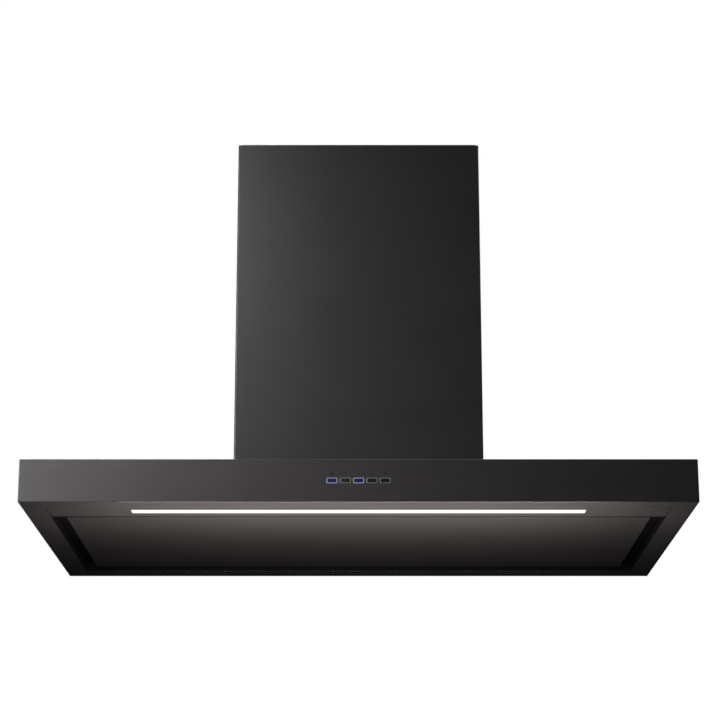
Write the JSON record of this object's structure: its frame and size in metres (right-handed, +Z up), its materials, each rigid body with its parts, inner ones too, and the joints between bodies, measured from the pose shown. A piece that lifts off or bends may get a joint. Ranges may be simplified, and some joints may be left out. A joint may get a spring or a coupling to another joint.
{
  "type": "island range hood",
  "caption": "Slim rectangular island range hood with perimeter suction panel, front light strip, push buttons and a telescoping rectangular chimney hung from the ceiling.",
  "frame": {"origin": "centre of the ceiling plate's top face, which is also the centre of its four anchor holes", "axes": "+Z up towards the ceiling, +X to the right seen from the control side, -Y is the control side"},
  "size_m": [1.2, 0.7006, 0.75],
  "materials": {
    "black_paint": "satin",
    "galvanised": "satin",
    "zinc_bolts": "satin",
    "dark_plastic": "matte",
    "lamp_opal": "satin",
    "lamp_aluminium": "satin",
    "circuit_board": "satin",
    "filter_mesh": "satin",
    "button_black": "gloss",
    "ring_blue": "gloss",
    "ring_grey": "gloss",
    "motor_paint": "matte",
    "capacitor_white": "matte",
    "spin_plastic": "matte",
    "collar_plastic": "matte"
  },
  "bodies": {
    "ceiling_frame": {"ceiling_plate": "galvanised", "upper_braces": "galvanised", "ceiling_frame_bolts": "zinc_bolts", "upper_chimney_front": "black_paint", "upper_chimney_rear": "black_paint", "upper_chimney_screws": "zinc_bolts", "upper_post_front_left": "galvanised", "upper_post_front_right": "galvanised", "upper_post_rear_left": "galvanised", "upper_post_rear_right": "galvanised"},
    "hood": {"blower_box": "galvanised", "button_rings_lit": "ring_blue", "button_rings_unlit": "ring_grey", "cable_gland": "dark_plastic", "canopy_shell": "black_paint", "capacitor": "capacitor_white", "chimney_foot_screws": "zinc_bolts", "control_board": "circuit_board", "control_housing": "dark_plastic", "electronics_box": "dark_plastic", "electronics_lid": "dark_plastic", "filter_deck": "black_paint", "flap_rod": "zinc_bolts", "grease_filter_left": "filter_mesh", "grease_filter_right": "filter_mesh", "height_clamp_bolts": "zinc_bolts", "led_board": "circuit_board", "led_diffuser": "lamp_opal", "led_driver": "dark_plastic", "led_profile": "lamp_aluminium", "light_panel": "black_paint", "lower_braces": "galvanised", "lower_chimney_front": "black_paint", "lower_chimney_rear": "black_paint", "lower_frame_bolts": "zinc_bolts", "lower_post_front_left": "galvanised", "lower_post_front_right": "galvanised", "lower_post_rear_left": "galvanised", "lower_post_rear_right": "galvanised", "motor": "motor_paint", "motor_bracket": "galvanised", "outlet_adaptor": "galvanised", "outlet_collar": "collar_plastic", "panel_hinge_pins": "zinc_bolts", "panel_magnets": "dark_plastic", "power_board": "circuit_board", "scroll_left": "spin_plastic", "scroll_right": "spin_plastic"},
    "suction_panel": {"suction_panel": "black_paint"},
    "impeller": {"impeller": "spin_plastic"},
    "damper_flap_front": {"damper_flap_front": "collar_plastic"},
    "damper_flap_rear": {"damper_flap_rear": "collar_plastic"},
    "filter_latch_left": {"filter_latch_left": "filter_mesh"},
    "filter_latch_right": {"filter_latch_right": "filter_mesh"},
    "button_light": {"button_light": "button_black"},
    "button_speed_1": {"button_speed_1": "button_black"},
    "button_speed_2": {"button_speed_2": "button_black"},
    "button_speed_3": {"button_speed_3": "button_black"},
    "button_timer": {"button_timer": "button_black"}
  },
  "joints": [
    {"name": "height_adjust", "type": "slide", "parent": "ceiling_frame", "child": "hood", "axis": [0, 0, -1], "range_m": [0, 0.25]},
    {"name": "panel_hinge", "type": "hinge", "parent": "hood", "child": "suction_panel", "pos_m": [0, 0.255, -0.73], "axis": [1, 0, 0], "range_deg": [0, 80]},
    {"name": "impeller_spin", "type": "hinge", "parent": "hood", "child": "impeller", "pos_m": [0, -0.018, -0.545], "axis": [1, 0, 0], "continuous": true},
    {"name": "flap_front_hinge", "type": "hinge", "parent": "hood", "child": "damper_flap_front", "pos_m": [0, 0.033, -0.366], "axis": [-1, 0, 0], "range_deg": [0, 80]},
    {"name": "flap_rear_hinge", "type": "hinge", "parent": "hood", "child": "damper_flap_rear", "pos_m": [0, 0.033, -0.366], "axis": [1, 0, 0], "range_deg": [0, 80]},
    {"name": "latch_left_slide", "type": "slide", "parent": "hood", "child": "filter_latch_left", "axis": [0, 1, 0], "range_m": [0, 0.006], "stiffness_N_per_m": 300, "springref_m": -0.002},
    {"name": "latch_right_slide", "type": "slide", "parent": "hood", "child": "filter_latch_right", "axis": [0, 1, 0], "range_m": [0, 0.006], "stiffness_N_per_m": 300, "springref_m": -0.002},
    {"name": "button_light_press", "type": "slide", "parent": "hood", "child": "button_light", "axis": [0, 1, 0], "range_m": [0, 0.0015], "stiffness_N_per_m": 600, "springref_m": -0.001},
    {"name": "button_speed_1_press", "type": "slide", "parent": "hood", "child": "button_speed_1", "axis": [0, 1, 0], "range_m": [0, 0.0015], "stiffness_N_per_m": 600, "springref_m": -0.001},
    {"name": "button_speed_2_press", "type": "slide", "parent": "hood", "child": "button_speed_2", "axis": [0, 1, 0], "range_m": [0, 0.0015], "stiffness_N_per_m": 600, "springref_m": -0.001},
    {"name": "button_speed_3_press", "type": "slide", "parent": "hood", "child": "button_speed_3", "axis": [0, 1, 0], "range_m": [0, 0.0015], "stiffness_N_per_m": 600, "springref_m": -0.001},
    {"name": "button_timer_press", "type": "slide", "parent": "hood", "child": "button_timer", "axis": [0, 1, 0], "range_m": [0, 0.0015], "stiffness_N_per_m": 600, "springref_m": -0.001}
  ]
}
